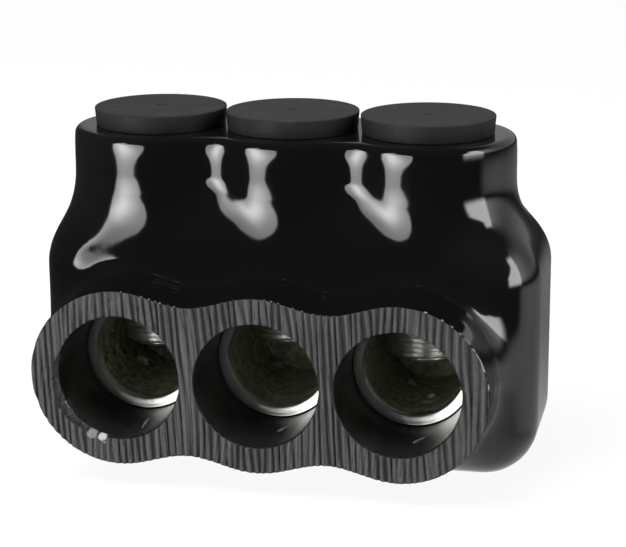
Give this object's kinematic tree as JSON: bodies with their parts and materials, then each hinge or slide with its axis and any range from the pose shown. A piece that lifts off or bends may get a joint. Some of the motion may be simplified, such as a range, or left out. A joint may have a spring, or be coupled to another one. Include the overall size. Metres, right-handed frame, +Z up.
{
  "type": "insulated multi-tap connector",
  "caption": "Insulated multi-tap wire connector: a drilled metal block in a thick dipped black jacket, wire sleeves at the front and capped set screws on top.",
  "frame": {"origin": "on the flat base, straight below the axis of the middle set screw", "axes": "+X along the row of ports, +Z up along the set screws, wires enter from -Y"},
  "size_m": [0.0929, 0.0493, 0.0646],
  "materials": {
    "jacket": "glossy dipped vinyl, cut matte at the front",
    "cap": "satin moulded vinyl",
    "block": "extruded, drilled and plated",
    "screw": "turned and plated"
  },
  "bodies": {
    "housing": {"jacket": "jacket", "connector_block": "block"},
    "screw_1": {"set_screw_1": "screw"},
    "cap_1": {"screw_cap_1": "cap"},
    "screw_2": {"set_screw_2": "screw"},
    "cap_2": {"screw_cap_2": "cap"},
    "screw_3": {"set_screw_3": "screw"},
    "cap_3": {"screw_cap_3": "cap"}
  },
  "joints": [
    {"name": "screw_1_feed", "type": "slide", "parent": "housing", "child": "screw_1", "axis": [0, 0, 1], "range_m": [-0.00282, 0.01058]},
    {"name": "cap_1_pull", "type": "slide", "parent": "housing", "child": "cap_1", "axis": [0, 0, 1], "range_m": [0, 0.02]},
    {"name": "screw_2_feed", "type": "slide", "parent": "housing", "child": "screw_2", "axis": [0, 0, 1], "range_m": [-0.00282, 0.01058]},
    {"name": "cap_2_pull", "type": "slide", "parent": "housing", "child": "cap_2", "axis": [0, 0, 1], "range_m": [0, 0.02]},
    {"name": "screw_3_feed", "type": "slide", "parent": "housing", "child": "screw_3", "axis": [0, 0, 1], "range_m": [-0.00282, 0.01058]},
    {"name": "cap_3_pull", "type": "slide", "parent": "housing", "child": "cap_3", "axis": [0, 0, 1], "range_m": [0, 0.02]}
  ]
}
